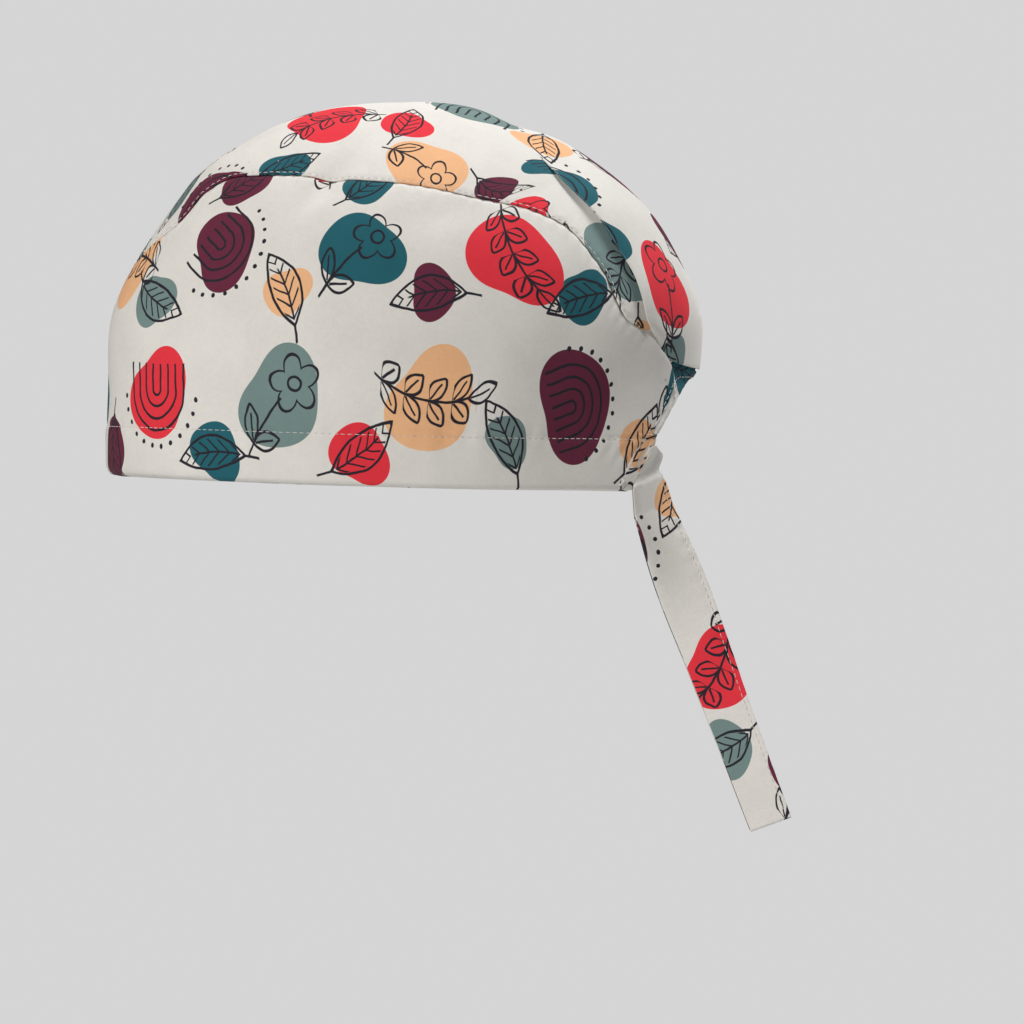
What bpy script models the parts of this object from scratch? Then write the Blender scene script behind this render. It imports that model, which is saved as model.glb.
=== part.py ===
"""Surgical scrub cap of printed cloth: crown with a pleated pouch, wrap-round side panel, back band and two ties.

The cap faces -Y, the wearer's left is +X and up is +Z. The origin is the middle of the rim opening, where a
head fills the cap. All lengths are in metres.

The cloth lies on one round form. The form is an ellipsoid about a centre inside the cap, made fuller or
slacker by the SECTIONS table. Seams are drawn on it as they are seen from the side, in two shares: reach, from -1
at the brow to +1 at the pouch, and lift, from 0 at the widest level to 1 at the top of the crown.
"""
import math

import bmesh
import bpy
import numpy as np
from mathutils import Vector

# The form
BROW_REACH = 0.117      # widest part forward to the brow
POUCH_REACH = 0.120     # widest part back to the pouch
HALF_WIDTH = 0.080      # middle to the side
CROWN_RISE = 0.135      # widest level up to the crown
WIDEST_LEVEL = 0.020    # widest level above the rim
WIDEST_BACK = 0.012     # widest part behind the origin

# Rim, hem and back opening
RIM_RISE = 0.006        # how much higher the rim lies at the brow than at the nape
RIM_EASE = 1.6          # how soon the rim comes down behind the brow
RIM_ROLL = 0.0065       # how far the hem turns in at the brow
SIDE_ROLL = 0.3         # how far it turns in at the sides, as a share of that
HEM_HEIGHT = 0.019      # rim to the hem's stitching
NAPE_REACH = 0.1040     # origin back to the rear end of the hem
NAPE_SLANT = 29.0       # degrees from upright of the back opening's edge, seen from the side
OPENING_HEIGHT = 0.040  # rim to the top of the back opening
FOOT_WIDTH = 0.0025     # width of the back band's lower ends

# Cloth
CLOTH_WALL = 0.0012
HEM_WALL = 0.0022       # the hem is two layers
BAND_WALL = 0.0016
TIE_WALL = 0.0014
SEAM_GAP = 0.0005       # clearance between neighbouring pieces
FOOT_GAP = 0.0010       # clearance below the back band's foot

# Ties
TIE_WIDTH = 0.0205
TIE_LENGTH = 0.163
TIE_SWING = 20.5        # degrees back from straight down
TIE_TUCK = 0.0022       # how far the tie reaches forward under the hem
TUCK_RUN = 0.011        # length of tie below the rim over which it does so
TIE_TOP = 0.88          # top of the tie, as a share of the hem's height

# Folds
PLEAT_LIP = 0.0016      # how far the pouch cloth stands out along the pleat
PLEAT_DEPTH = 0.0024    # how deep the strip lies beside it
STRIP_SAG = 0.16        # deepest that the strip lies, as a share of its width
PLEAT_REACH = 0.009     # how far the lip's rise fades into the pouch
PLEAT_ONSET = (0.012, 0.0216)  # run over which the pleat sets in, backwards and downwards
VALLEY_LEAN = 0.6       # how near to the lip the strip is deepest
FOLD_DEPTH = 0.0025     # depth of a full soft fold

# Grid of the cloth, in faces
ALONG_CROWN = 36
POUCH_COLUMNS = 10
STRIP_COLUMNS = 4
STRIP_CROWDING = 1.3    # how much the strip's columns crowd towards the pleat
WALL_ROWS = 8
BAND_COLUMNS = 2
TIE_ROWS = 20
TIE_COLUMNS = 3
CURVE_STEPS = 30        # points on a smooth curve between two rows of its table

TONGUE_EASE = 0.12      # share of the seam's table over which the brow tongue runs in to the middle
EASED_ROWS = 3          # rows over which the pleat flattens towards the back band
PLEAT_PLACES = (0.40, 0.90)  # the pleat's least and most share of the way from the middle to the seam
HEM_ROWS = (0, 0.12, 0.36, 0.94)  # rows of the hem, as shares of its height
FOOT_ROWS = 2           # rows of the side panel between its hem and the back band's foot
FOOT_ROW = len(HEM_ROWS) + FOOT_ROWS
POINT_COLUMNS = 4       # faces of the side panel's upper edge past the pouch's corner
BAND_LENGTHS = 8        # faces of the back band along half of the pouch
BAND_KNEE = 0.34        # place on the opening's edge that faces the pouch's corner, as a share of its length
BAND_BLUNT = 0.15       # share of the pouch's edge that the band leaves free at the pouch's corner
FOOT_CREEP = 0.3        # how far the band's last column moves up beside the panel, as a share of two columns
TIE_CROWDING = 1.25     # how much the tie's rows crowd towards its top
LINE_STEPS = 600        # points on a level line half round the form
FINE_STEPS = 200        # places across the crown at which the pleat's line is looked for
HALVINGS = 40           # steps in the searches that halve a span
FAR_OUT = 1.5           # a place beyond the form, as a multiple of its half width
HIGH_TILT = 40.0        # a tilt in degrees above that of any level line
MERGE_STEP = 0.0001     # widest gap that the mirrored halves close

TILT, FRONT, SIDE, BACK = range(4)
SECTIONS = np.array([
    # tilt above the widest level in degrees, then the form's fullness at the front, side and back
    (-16, 0.985, 0.970, 0.950),
    (0, 1.000, 1.000, 0.985),
    (10, 1.012, 1.030, 1.005),
    (20, 1.052, 1.055, 1.070),
    (30, 1.060, 1.062, 1.094),
    (40, 1.040, 1.045, 1.076),
    (50, 1.044, 1.016, 1.052),
    (60, 1.037, 0.998, 1.034),
    (70, 1.022, 0.992, 1.020),
    (80, 1.006, 0.996, 1.010),
    (90, 1.000, 1.000, 1.000),
])

REACH, LIFT = range(2)
CROWN_SEAM = np.array([
    # the crown's outline from the brow to the pouch's lower corner: reach, lift
    (-0.900, 0.530),
    (-0.832, 0.588),
    (-0.745, 0.652),
    (-0.680, 0.722),
    (-0.600, 0.768),
    (-0.460, 0.784),
    (-0.320, 0.783),
    (-0.130, 0.768),
    (0.050, 0.754),
    (0.270, 0.716),
    (0.445, 0.678),
    (0.570, 0.620),
    (0.640, 0.552),
    (0.690, 0.492),
    (0.727, 0.415),
    (0.762, 0.360),
    (0.820, 0.325),
    (0.873, 0.264),
])
POUCH_EDGE = np.array([
    # lower edge of the pouch from its corner to the middle of the back: reach, lift
    (0.873, 0.264),
    (0.925, 0.226),
    (0.960, 0.211),
    (0.990, 0.208),
])
PLEAT_LINE = np.array([
    # the pleat from the crown's top to the pouch's lower corner: reach, lift
    (0.350, 0.957),
    (0.470, 0.838),
    (0.555, 0.759),
    (0.660, 0.664),
    (0.727, 0.566),
    (0.790, 0.470),
    (0.820, 0.380),
    (0.850, 0.310),
])
REAR_EDGE = np.array([
    # rear edge of the side panel beside the back band, from its foot up to the pouch: reach, lift
    (0.848, 0.010),
    (0.880, 0.065),
    (0.912, 0.122),
    (0.926, 0.170),
    (0.915, 0.212),
    (0.873, 0.264),
])
WIDTH, HEIGHT = range(2)
OPENING_ARCH = np.array([
    # edge of the back opening from the band's foot to its top: share of the form's width in the edge's slanted
    # plane, and of the rise from the foot
    (1.000, 0.000),
    (0.985, 0.300),
    (0.930, 0.560),
    (0.800, 0.770),
    (0.520, 0.930),
    (0.000, 1.000),
])

DENT_REACH, DENT_LIFT, DENT_TURN, DENT_LONG, DENT_WIDE, DENT_DEEP = range(6)
SOFT_FOLDS = np.array([
    # place seen from the side (reach, lift), turn of the long axis in degrees, length and breadth as shares of the
    # crown's rise, depth as a share of FOLD_DEPTH
    (0.370, 0.960, -45, 0.110, 0.050, 0.75),
    (0.510, 0.830, -48, 0.130, 0.034, 0.60),
    (0.640, 0.640, -58, 0.130, 0.034, 0.50),
    (-0.170, 0.735, 40, 0.080, 0.038, 0.45),
    (0.160, 0.670, 15, 0.130, 0.055, 0.45),
    (0.745, 0.130, 50, 0.200, 0.090, 0.90),
    (0.600, 0.330, 60, 0.170, 0.060, 0.35),
    (-0.480, 0.300, -70, 0.240, 0.060, 0.30),
    (0.200, 0.080, 80, 0.200, 0.070, 0.30),
])

DOWN, ACROSS, TWIST = range(3)
TIE_SECTIONS = np.array([
    # share of the tie's length below its top, its width there as a share of its full width, and its twist in degrees
    (0.000, 0.080, 46),
    (0.027, 0.400, 46),
    (0.067, 0.660, 46),
    (0.101, 0.850, 46),
    (0.145, 1.000, 44),
    (0.220, 1.000, 36),
    (0.300, 1.000, 22),
    (0.400, 1.000, 4),
    (0.560, 1.000, -16),
    (0.760, 1.000, -27),
    (1.000, 1.000, -34),
])

OFF_WHITE = (0.80, 0.78, 0.74, 1.0)
TEAL = (0.03, 0.13, 0.16, 1.0)
CENTRE = np.array([0.0, WIDEST_BACK, WIDEST_LEVEL])
SMALL_STEP = 1e-5


def smooth(at, table, column):
    """Value of a table's column at places in its first column, on a curve without corners."""
    x, y = table[:, 0], table[:, column]
    slope = np.gradient(y, x)
    i = np.clip(np.searchsorted(x, at) - 1, 0, len(x) - 2)
    step = x[i + 1] - x[i]
    t = np.clip((at - x[i]) / step, 0, 1)
    start = (1 + 2 * t) * (1 - t) ** 2 * y[i] + t * (1 - t) ** 2 * step * slope[i]
    end = t * t * (3 - 2 * t) * y[i + 1] - t * t * (1 - t) * step * slope[i + 1]
    return start + end


def curve_through(rows):
    """Points on a smooth curve through the rows."""
    along = np.concatenate([[0], np.cumsum(np.linalg.norm(np.diff(rows, axis=0), axis=1))])
    places = np.linspace(0, along[-1], (len(rows) - 1) * CURVE_STEPS + 1)
    table = np.column_stack([along, rows])
    return np.column_stack([smooth(places, table, 1 + k) for k in range(rows.shape[1])])


def spaced(points, shares):
    """Points at shares of a curve's length."""
    along = np.concatenate([[0], np.cumsum(np.linalg.norm(np.diff(points, axis=0), axis=1))])
    return np.column_stack([np.interp(shares * along[-1], along, points[:, k]) for k in range(points.shape[1])])


def reach_to_y(reach):
    return WIDEST_BACK + np.where(reach < 0, BROW_REACH, POUCH_REACH) * reach


def lift_to_z(lift):
    return WIDEST_LEVEL + CROWN_RISE * lift


def form_share(points):
    """How far out each point lies between the form's centre, 0, and its surface, 1."""
    off = points - CENTRE
    x = off[..., 0] / HALF_WIDTH
    y = off[..., 1] / np.where(off[..., 1] < 0, BROW_REACH, POUCH_REACH)
    z = off[..., 2] / CROWN_RISE
    flat = np.hypot(x, y)
    tilt = np.degrees(np.arctan2(z, flat))
    side = (x / np.maximum(flat, SMALL_STEP)) ** 2
    ends = np.where(y < 0, smooth(tilt, SECTIONS, FRONT), smooth(tilt, SECTIONS, BACK))
    fullness = side * smooth(tilt, SECTIONS, SIDE) + (1 - side) * ends
    return np.hypot(flat, z) / fullness


def on_form(points):
    """The points moved out or in, in line with the form's centre, until they lie on it."""
    return CENTRE + (points - CENTRE) / form_share(points)[..., None]


def form_normal(points):
    """Outward direction of the form at each point."""
    steps = np.eye(3) * SMALL_STEP
    slopes = [form_share(points + step) - form_share(points - step) for step in steps]
    normal = np.stack(slopes, axis=-1)
    return normal / np.linalg.norm(normal, axis=-1, keepdims=True)


def seen_from_side(y, z):
    """Points of the form's left side that lie at y and z when it is seen from the side."""
    near, far = np.zeros_like(y), np.full_like(y, FAR_OUT * HALF_WIDTH)
    for _ in range(HALVINGS):
        middle = (near + far) / 2
        outside = form_share(np.stack([middle, y, z], axis=-1)) > 1
        near, far = np.where(outside, near, middle), np.where(outside, middle, far)
    return on_form(np.stack([near, y, z], axis=-1))


def side_curve(rows):
    """A table's seam as points on the form."""
    drawn = curve_through(rows)
    return seen_from_side(reach_to_y(drawn[:, REACH]), lift_to_z(drawn[:, LIFT]))


def nape_y(z):
    """How far back the back opening's edge lies at a height."""
    return NAPE_REACH + z * math.tan(math.radians(NAPE_SLANT))


def soft_folds(points):
    """Depth of the cloth's soft folds at each point."""
    depth = np.zeros(points.shape[:-1])
    for fold in SOFT_FOLDS:
        y = points[..., 1] - reach_to_y(fold[DENT_REACH])
        z = points[..., 2] - lift_to_z(fold[DENT_LIFT])
        turn = math.radians(fold[DENT_TURN])
        along = (y * math.cos(turn) + z * math.sin(turn)) / (fold[DENT_LONG] * CROWN_RISE)
        across = (z * math.cos(turn) - y * math.sin(turn)) / (fold[DENT_WIDE] * CROWN_RISE)
        depth += fold[DENT_DEEP] * FOLD_DEPTH * np.exp(-along ** 2 - across ** 2)
    return depth


def sunk(points, depth):
    """Points of the form moved inward by a depth."""
    return points - form_normal(points) * np.asarray(depth)[..., None]


def patch(left, right, first, last, across):
    """Grid between four edges: left and right have a point a row, first and last a point a column, and across gives
    each column's share of the way from left to right."""
    s = np.linspace(0, 1, len(left))[:, None, None]
    c = across[..., None]
    sides = (1 - c) * left[:, None] + c * right[:, None]
    corners = (1 - s) * ((1 - c) * left[0] + c * right[0]) + s * ((1 - c) * left[-1] + c * right[-1])
    return sides + (1 - s) * first + s * last - corners


def inset(points, distance):
    """An edge's points moved along the form, to the left of the way that the edge runs, seen from outside."""
    along = np.gradient(points, axis=0)
    aside = np.cross(form_normal(points), along)
    return on_form(points + aside / np.linalg.norm(aside, axis=-1, keepdims=True) * distance)


def to_middle(points, share):
    """A curve eased sideways, over a share of its points, so that its first point lies in the middle."""
    eased = points.copy()
    eased[:, 0] -= points[0, 0] * np.clip(1 - np.linspace(0, 1, len(points)) / share, 0, 1) ** 2
    return on_form(eased)


def middle_angle(point):
    """Turn of a point of the middle line about the form's centre, from the brow over the top."""
    off = point - CENTRE
    reach = off[1] / (BROW_REACH if off[1] < 0 else POUCH_REACH)
    return math.atan2(off[2] / CROWN_RISE, -reach)


def crown_grid():
    """The crown's left half on the form: rows from the brow tongue's tip, where all columns meet, back to the pouch,
    and columns from the middle to the seam."""
    rows = np.linspace(0, 1, ALONG_CROWN + 1)
    seam = spaced(to_middle(side_curve(CROWN_SEAM), TONGUE_EASE), rows)
    edge = to_middle(side_curve(POUCH_EDGE)[::-1], 1)
    angles = np.linspace(middle_angle(seam[0]), middle_angle(edge[0]), LINE_STEPS + 1)
    arc = np.stack([np.zeros_like(angles), reach_to_y(-np.cos(angles)), lift_to_z(np.sin(angles))], axis=-1)
    middle = spaced(on_form(arc), rows)

    def cloth(across):
        tip = np.broadcast_to(seam[0], across.shape + (3,))
        last = np.stack([spaced(edge, row) for row in across])
        return on_form(patch(middle, seam, tip, last, across))

    fine = np.tile(np.linspace(0, 1, FINE_STEPS + 1), (ALONG_CROWN + 1, 1))
    points = cloth(fine)
    pleat = curve_through(PLEAT_LINE)[::-1]
    pleat_y = np.interp(points[..., 2], lift_to_z(pleat[:, LIFT]), reach_to_y(pleat[:, REACH]))
    ahead = points[..., 1] < pleat_y
    ahead[:, -1] = True
    split = np.clip(fine[0][np.argmax(ahead, axis=1)], *PLEAT_PLACES)
    split = np.convolve(np.pad(split, 2, mode="edge"), np.full(5, 0.2), mode="valid")
    pouch = split[:, None] * np.linspace(0, 1, POUCH_COLUMNS + 1)
    strip = split[:, None] + (1 - split[:, None]) * np.linspace(0, 1, STRIP_COLUMNS + 1)[1:] ** STRIP_CROWDING
    return cloth(np.concatenate([pouch, strip], axis=1))


def trimmed(crown):
    """The crown with room for the seams taken off its edges."""
    cut = crown.copy()
    cut[:, -1] = inset(crown[:, -1], SEAM_GAP / 2)
    cut[0] = cut[0, -1] * (0, 1, 1)
    rear = inset(crown[-1], -SEAM_GAP / 2)
    cut[-1, :-1] = rear[:-1]
    cut[-1, -1] += rear[-1] - crown[-1, -1]
    cut[:, 0, 0] = 0
    return cut


def pleat_rise(grid):
    """How far the crown stands out along its pleat, on each side of it."""
    line = grid[:, POUCH_COLUMNS]
    behind = (line[:, 1] - reach_to_y(PLEAT_LINE[0, REACH])) / PLEAT_ONSET[0]
    below = (lift_to_z(PLEAT_LINE[0, LIFT]) - line[:, 2]) / PLEAT_ONSET[1]
    to_edge = np.arange(len(grid))[::-1] / EASED_ROWS
    strength = np.clip(behind, 0, 1) * np.clip(below, 0, 1) * np.clip(to_edge, 0, 1)
    off = np.linalg.norm(grid - line[:, None], axis=-1)
    column = np.arange(grid.shape[1])
    lip = PLEAT_LIP * np.exp(-(off / PLEAT_REACH) ** 2)
    across = np.clip((column - POUCH_COLUMNS) / STRIP_COLUMNS, 0, 1)
    strip_width = np.linalg.norm(grid[:, -1] - line, axis=-1)[:, None]
    depth = np.minimum(PLEAT_DEPTH, STRIP_SAG * strip_width)
    valley = PLEAT_LIP * (column == POUCH_COLUMNS) - depth * np.sin(np.pi * across ** VALLEY_LEAN) ** 2
    return strength[:, None] * np.where(column < POUCH_COLUMNS, lip, valley)


def level_line(height):
    """The form's left side at a height above the rim, from the brow to the back opening."""
    turn = np.linspace(0, math.pi, LINE_STEPS + 1)
    z = RIM_RISE * ((1 + np.cos(turn)) / 2) ** RIM_EASE + height
    reach = np.where(np.cos(turn) > 0, BROW_REACH, POUCH_REACH)
    low, high = np.full_like(turn, SECTIONS[0, TILT]), np.full_like(turn, HIGH_TILT)
    for _ in range(HALVINGS):
        tilt = np.radians((low + high) / 2)
        ray = np.stack([HALF_WIDTH * np.cos(tilt) * np.sin(turn), -reach * np.cos(tilt) * np.cos(turn),
                        CROWN_RISE * np.sin(tilt)], axis=-1)
        line = on_form(CENTRE + ray)
        above = line[:, 2] > z
        low, high = np.where(above, low, (low + high) / 2), np.where(above, (low + high) / 2, high)
    return line[line[:, 1] <= nape_y(line[:, 2])]


def side_grid(crown):
    """The side panel's left half: rows from the rim up to the crown, columns from the brow to the back opening. Its
    upper edge runs on past the pouch's corner to the point over the back band."""
    rear_edge = side_curve(REAR_EDGE)
    point = np.argmax(rear_edge[:, 1])
    past_pouch = spaced(rear_edge[point:][::-1], np.linspace(0, 1, POINT_COLUMNS + 1))
    top = np.concatenate([inset(crown[:, -1], -SEAM_GAP / 2), past_pouch[1:]])
    top[0, 0] = 0
    steps = np.linalg.norm(np.diff(top, axis=0), axis=1)
    by_length = np.concatenate([[0], np.cumsum(steps)]) / steps.sum()
    across = (by_length + np.linspace(0, 1, len(top))) / 2
    rim, hem = (spaced(level_line(height), across) for height in (0, HEM_HEIGHT))
    shares = np.linspace(0, 1, CURVE_STEPS + 1)
    rise = hem[-1, 2] + (rear_edge[0, 2] - hem[-1, 2]) * shares
    lower = seen_from_side(nape_y(rise) - FOOT_WIDTH * shares ** 2, rise)
    rear = np.concatenate([spaced(lower, np.linspace(0, 1, FOOT_ROWS + 1))[:-1],
                           spaced(rear_edge[:point + 1], np.linspace(0, 1, WALL_ROWS - FOOT_ROWS + 1))])
    front = hem[0] + np.linspace(0, 1, WALL_ROWS + 1)[:, None] * (top[0] - hem[0])
    wall = on_form(patch(front, rear, hem[None], top[None], across[None]))
    wall[-1] = top
    turned = np.stack([on_form(rim + share * (hem - rim)) for share in HEM_ROWS])
    grid = np.concatenate([turned, wall])
    grid[:, 0, 0] = 0
    return grid


def hem_roll(grid):
    """How far the hem's lower edge turns in, most at the brow."""
    facing = np.clip(-form_normal(grid)[..., 1], 0, 1)
    radius = RIM_ROLL * (SIDE_ROLL + (1 - SIDE_ROLL) * facing ** 2)
    left = np.clip(1 - (grid[..., 2] - grid[:1, :, 2]) / radius, 0, 1)
    return radius * (1 - np.sqrt(1 - left ** 2))


def band_grid(crown, side):
    """The back band's left half: columns from the middle of the back round to its foot, rows from the edge that is
    tucked in behind the pouch and the side panel to the opening's free edge."""
    pouch = inset(crown[-1], SEAM_GAP)
    pouch[0, 0] = 0
    panel = inset(np.concatenate([side[-1, len(crown) - 1:], side[FOOT_ROW:-1, -1][::-1]]), SEAM_GAP)[2::2]
    shares = np.linspace(0, 1, BAND_LENGTHS + 1)
    outer = np.concatenate([spaced(pouch, (1 - BAND_BLUNT) * shares), panel])
    foot_z = lift_to_z(REAR_EDGE[0, LIFT]) + FOOT_GAP
    panel[-1] = spaced(panel[:-3:-1], np.array([0, FOOT_CREEP, 1]))[1]
    arch = curve_through(OPENING_ARCH)[::-1]
    z = foot_z + (OPENING_HEIGHT - foot_z) * arch[:, HEIGHT]
    edge = seen_from_side(nape_y(z), z) * np.stack([arch[:, WIDTH], np.ones_like(z), np.ones_like(z)], axis=-1)
    steps = np.linalg.norm(np.diff(panel, axis=0), axis=1)
    after = BAND_KNEE + BAND_BLUNT
    beside_panel = after + (1 - after) * np.concatenate([[0], np.cumsum(steps)]) / steps.sum()
    inner = spaced(edge, np.concatenate([BAND_KNEE * shares, beside_panel]))
    tucked = sunk(outer, np.full(len(outer), CLOTH_WALL + SEAM_GAP))
    return np.stack([tucked + share * (inner - tucked) for share in np.linspace(0, 1, BAND_COLUMNS + 1)])


def tie_grid(side):
    """The left tie: rows down from its top beside the hem's rear end, columns from its fore to its rear edge."""
    root = side[:len(HEM_ROWS) + 1, -1]
    swing = math.radians(TIE_SWING)
    down = np.array([0, math.sin(swing), -math.cos(swing)])
    top_z = root[0, 2] + TIE_TOP * (root[-1, 2] - root[0, 2])
    root_length = (top_z - root[0, 2]) / math.cos(swing)
    places = np.linspace(0, 1, TIE_ROWS + 1) ** TIE_CROWDING
    twist = np.radians(smooth(places, TIE_SECTIONS, TWIST))
    wide = np.stack([-np.sin(twist), np.cos(twist) * math.cos(swing), np.cos(twist) * math.sin(swing)], axis=-1)
    fall = places * TIE_LENGTH
    z = np.maximum(top_z - fall * math.cos(swing), root[0, 2])
    beside = np.stack([np.interp(z, root[:, 2], root[:, k]) for k in range(3)], axis=-1) + (0, 2 * SEAM_GAP, 0)
    below = np.maximum(fall - root_length, 0)[:, None]
    turned = TIE_WIDTH / 2 * (wide[0] - wide) * (below > 0)
    tucked = np.clip(below / TUCK_RUN, 0, 1) * (0, -TIE_TUCK, 0)
    fore = beside + below * down + turned + tucked
    width = (TIE_WIDTH * smooth(places, TIE_SECTIONS, ACROSS))[:, None]
    rows = [fore + share * width * wide for share in np.linspace(0, 1, TIE_COLUMNS + 1)]
    return np.stack(rows, axis=1)


def cloth_material(name, colour):
    material = bpy.data.materials.new(name)
    material.use_nodes = True
    finish = material.node_tree.nodes["Principled BSDF"]
    finish.inputs["Base Color"].default_value = colour
    finish.inputs["Roughness"].default_value = 0.85
    finish.inputs["Metallic"].default_value = 0.0
    return material


def add_cloth(name, grid, wall, colour, collection):
    """A cloth piece as an open surface through a grid of points, given its wall by Solidify."""
    rows, columns = grid.shape[:2]
    mesh = bpy.data.meshes.new(name)
    bm = bmesh.new()
    verts = [[bm.verts.new(point) for point in row] for row in grid]
    for i in range(rows - 1):
        for k in range(columns - 1):
            bm.faces.new((verts[i][k], verts[i][k + 1], verts[i + 1][k + 1], verts[i + 1][k]))
    bmesh.ops.remove_doubles(bm, verts=bm.verts, dist=SMALL_STEP)
    bm.normal_update()
    centre = Vector(CENTRE)
    if sum(face.normal.dot(face.calc_center_median() - centre) for face in bm.faces) < 0:
        bmesh.ops.reverse_faces(bm, faces=bm.faces)
    bm.to_mesh(mesh)
    bm.free()
    mesh.shade_smooth()
    mesh.materials.append(cloth_material(name + "_cloth", colour))
    piece = bpy.data.objects.new(name, mesh)
    collection.objects.link(piece)
    solid = piece.modifiers.new("Cloth wall", "SOLIDIFY")
    solid.thickness = wall
    solid.offset = -1.0
    return piece


def add_other_half(piece):
    """The wearer's right half, joined to the left one in the middle before the wall is made."""
    half = piece.modifiers.new("Other half", "MIRROR")
    half.merge_threshold = MERGE_STEP
    piece.modifiers.move(len(piece.modifiers) - 1, 0)


def build():
    for thing in list(bpy.data.objects):
        bpy.data.objects.remove(thing)
    cap = bpy.data.collections.new("surgical_scrub_cap")
    bpy.context.scene.collection.children.link(cap)

    crown = crown_grid()
    cut = trimmed(crown)
    panel = add_cloth("crown_panel", sunk(cut, soft_folds(cut) - pleat_rise(cut)), CLOTH_WALL, OFF_WHITE, cap)
    add_other_half(panel)

    side = side_grid(crown)
    sides = add_cloth("side_panel", sunk(side, soft_folds(side) + hem_roll(side)), HEM_WALL, TEAL, cap)
    doubled = sides.vertex_groups.new(name="Turned-up hem")
    doubled.add(list(range((len(HEM_ROWS) + 1) * side.shape[1])), 1.0, "REPLACE")
    solid = sides.modifiers["Cloth wall"]
    solid.vertex_group = doubled.name
    solid.thickness_vertex_group = CLOTH_WALL / HEM_WALL
    add_other_half(sides)

    band = band_grid(crown, side)
    add_other_half(add_cloth("back_band", sunk(band, soft_folds(band)), BAND_WALL, TEAL, cap))

    tie = tie_grid(side)
    add_cloth("tie_left", tie, TIE_WALL, OFF_WHITE, cap)
    add_cloth("tie_right", tie * (-1, 1, 1), TIE_WALL, OFF_WHITE, cap)


build()
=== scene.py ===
import math

import bmesh
import bpy
import numpy as np
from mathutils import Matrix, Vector


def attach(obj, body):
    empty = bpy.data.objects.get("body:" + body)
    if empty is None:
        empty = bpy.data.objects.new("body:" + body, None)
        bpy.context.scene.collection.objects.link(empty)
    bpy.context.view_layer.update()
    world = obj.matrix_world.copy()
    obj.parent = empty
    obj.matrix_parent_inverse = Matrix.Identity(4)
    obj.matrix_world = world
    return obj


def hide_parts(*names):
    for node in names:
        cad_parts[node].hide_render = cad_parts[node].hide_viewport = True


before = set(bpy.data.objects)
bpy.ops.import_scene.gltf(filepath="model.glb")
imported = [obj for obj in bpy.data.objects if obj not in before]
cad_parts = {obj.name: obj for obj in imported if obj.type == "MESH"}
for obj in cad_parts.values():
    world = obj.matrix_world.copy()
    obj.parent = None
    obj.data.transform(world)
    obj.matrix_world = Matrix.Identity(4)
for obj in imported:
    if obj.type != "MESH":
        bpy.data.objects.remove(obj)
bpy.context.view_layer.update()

# The round form that all the cloth lies on, in metres, and the lines sewn on it
form = dict(browReach=0.117, pouchReach=0.120, halfWidth=0.080, crownRise=0.135, level=0.020, back=0.012)
rim = dict(rise=0.006, roll=0.0052, nape=0.104, slant=29.0, opening=0.0435, foot=0.0025)
centre = np.array([0.0, form["back"], form["level"]])

# tilt in degrees, then fullness at the front, side and back
fullness = np.array([
    (-16, 0.985, 0.970, 0.950), (0, 1.000, 1.000, 0.985), (10, 1.012, 1.030, 1.018),
    (20, 1.049, 1.055, 1.074), (30, 1.046, 1.062, 1.077), (40, 1.037, 1.045, 1.072),
    (50, 1.046, 1.016, 1.052), (60, 1.030, 0.998, 1.034), (70, 1.018, 0.992, 1.020),
    (80, 1.006, 0.996, 1.010), (90, 1.000, 1.000, 1.000),
])
# lines seen from the side: share of the reach to the brow or pouch, share of the crown's rise
crownSeam = np.array([
    (-0.900, 0.530), (-0.832, 0.588), (-0.745, 0.652), (-0.680, 0.722), (-0.600, 0.768), (-0.460, 0.784),
    (-0.320, 0.783), (-0.130, 0.768), (0.050, 0.754), (0.270, 0.716), (0.445, 0.678), (0.570, 0.620),
    (0.640, 0.552), (0.690, 0.492), (0.727, 0.415), (0.762, 0.360), (0.820, 0.325), (0.873, 0.264),
])
pouchEdge = np.array([(0.873, 0.264), (0.925, 0.226), (0.960, 0.211), (0.990, 0.208)])
pleatLine = np.array([
    (0.350, 0.957), (0.470, 0.838), (0.555, 0.759), (0.660, 0.664), (0.727, 0.566), (0.790, 0.470),
    (0.820, 0.380), (0.850, 0.310),
])
rearEdge = np.array([
    (0.848, 0.010), (0.880, 0.065), (0.912, 0.122), (0.926, 0.170), (0.915, 0.212), (0.873, 0.264),
])
openingArch = np.array([(1, 0), (0.99, 0.34), (0.95, 0.63), (0.85, 0.84), (0.57, 0.965), (0, 1)])
# reach, lift, turn of the long axis in degrees, length, breadth, depth in metres
softFolds = np.array([
    (0.370, 0.960, -45, 0.110, 0.050, 0.00188), (0.510, 0.830, -48, 0.130, 0.034, 0.00150),
    (0.640, 0.640, -58, 0.130, 0.034, 0.00125), (-0.250, 0.765, 48, 0.100, 0.034, 0.00260),
    (-0.740, 0.420, 65, 0.150, 0.050, 0.00120), (0.160, 0.670, 15, 0.130, 0.055, 0.00112),
    (0.745, 0.130, 50, 0.260, 0.150, 0.00340), (0.600, 0.050, 75, 0.260, 0.200, 0.00240),
    (0.600, 0.330, 60, 0.190, 0.090, 0.00160), (-0.480, 0.300, -70, 0.240, 0.060, 0.00075),
    (0.200, 0.080, 80, 0.200, 0.070, 0.00075),
])


def smoothAt(at, table, column):  # cubic through the rows, each row's slope taken from its neighbours
    x, y = table[:, 0], table[:, column]
    slope = np.gradient(y, x)
    i = np.clip(np.searchsorted(x, at) - 1, 0, len(x) - 2)
    step = x[i + 1] - x[i]
    t = np.clip((at - x[i]) / step, 0, 1)
    start = (1 + 2 * t) * (1 - t) ** 2 * y[i] + t * (1 - t) ** 2 * step * slope[i]
    return start + t * t * (3 - 2 * t) * y[i + 1] - t * t * (1 - t) * step * slope[i + 1]


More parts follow.
